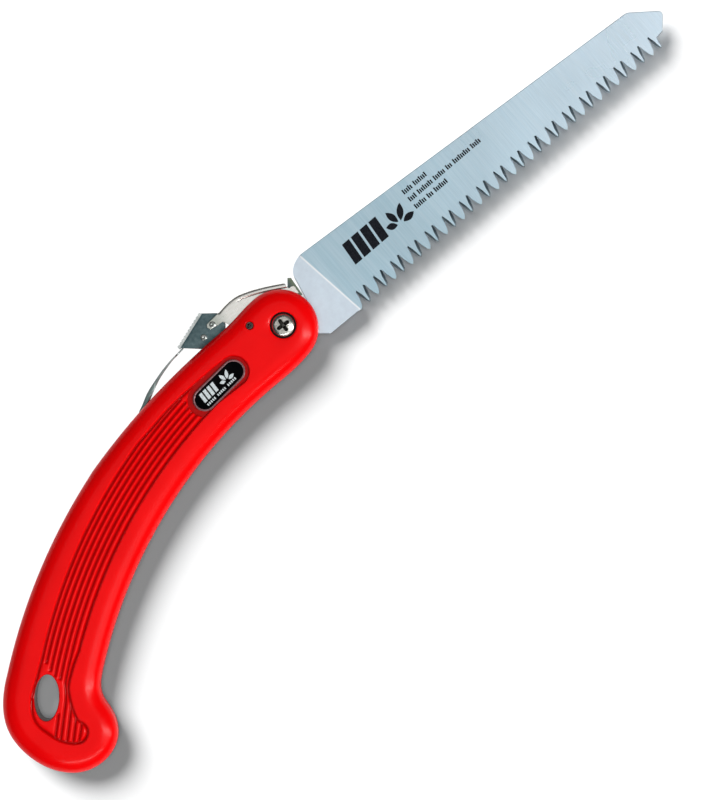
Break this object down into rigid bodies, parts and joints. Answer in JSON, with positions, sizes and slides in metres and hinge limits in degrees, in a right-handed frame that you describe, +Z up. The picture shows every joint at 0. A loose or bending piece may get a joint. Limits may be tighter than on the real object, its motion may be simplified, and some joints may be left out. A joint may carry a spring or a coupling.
{
  "type": "folding pruning saw",
  "caption": "Folding pruning saw: curved two-shell grip with hooked butt, straight saw blade on a pivot, and a sprung thumb lever that locks it.",
  "frame": {"origin": "middle of the bounding box, on the plane the saw lies on (left shell down, blade open)", "axes": "+X along the blade's back edge to the tip, +Y away from the teeth, +Z up through the thickness"},
  "size_m": [0.4288, 0.1364, 0.0204],
  "materials": {
    "grip": "glossy moulded red",
    "badge": "printed black plate",
    "blade": "ground across the blade, polished tang",
    "nickel": "nickel plated",
    "zinc": "bright zinc",
    "dark_steel": "blued steel",
    "spring_steel": "bare spring steel"
  },
  "bodies": {
    "handle": {"right_grip_shell": "grip", "left_grip_shell": "grip", "right_badge": "badge", "left_badge": "badge", "pivot_screw": "nickel", "pivot_nut": "nickel", "pivot_spring_washer": "zinc", "right_blade_washer": "zinc", "left_blade_washer": "zinc", "return_spring": "spring_steel", "spring_anchor_pin": "zinc", "lever_pin": "dark_steel", "grip_screw_front": "zinc", "grip_screw_middle": "zinc", "grip_screw_rear": "zinc"},
    "blade": {"saw_blade": "blade"},
    "lever": {"lock_arm": "zinc", "lock_pawl": "dark_steel", "pawl_rivet": "zinc", "thumb_bracket": "dark_steel", "bracket_rivet_front": "zinc", "bracket_rivet_rear": "zinc"}
  },
  "joints": [
    {"name": "blade_fold", "type": "hinge", "parent": "handle", "child": "blade", "pos_m": [-0.00614, 0.04115, 0.0102], "axis": [0, 0, 1], "range_deg": [-156, 0]},
    {"name": "lock_lever", "type": "hinge", "parent": "handle", "child": "lever", "pos_m": [-0.01834, 0.04995, 0.0102], "axis": [0, 0, 1], "range_deg": [-7, 2], "stiffness_Nm_per_rad": 0.35, "springref_deg": -24.98, "deforming": ["return_spring"]}
  ]
}
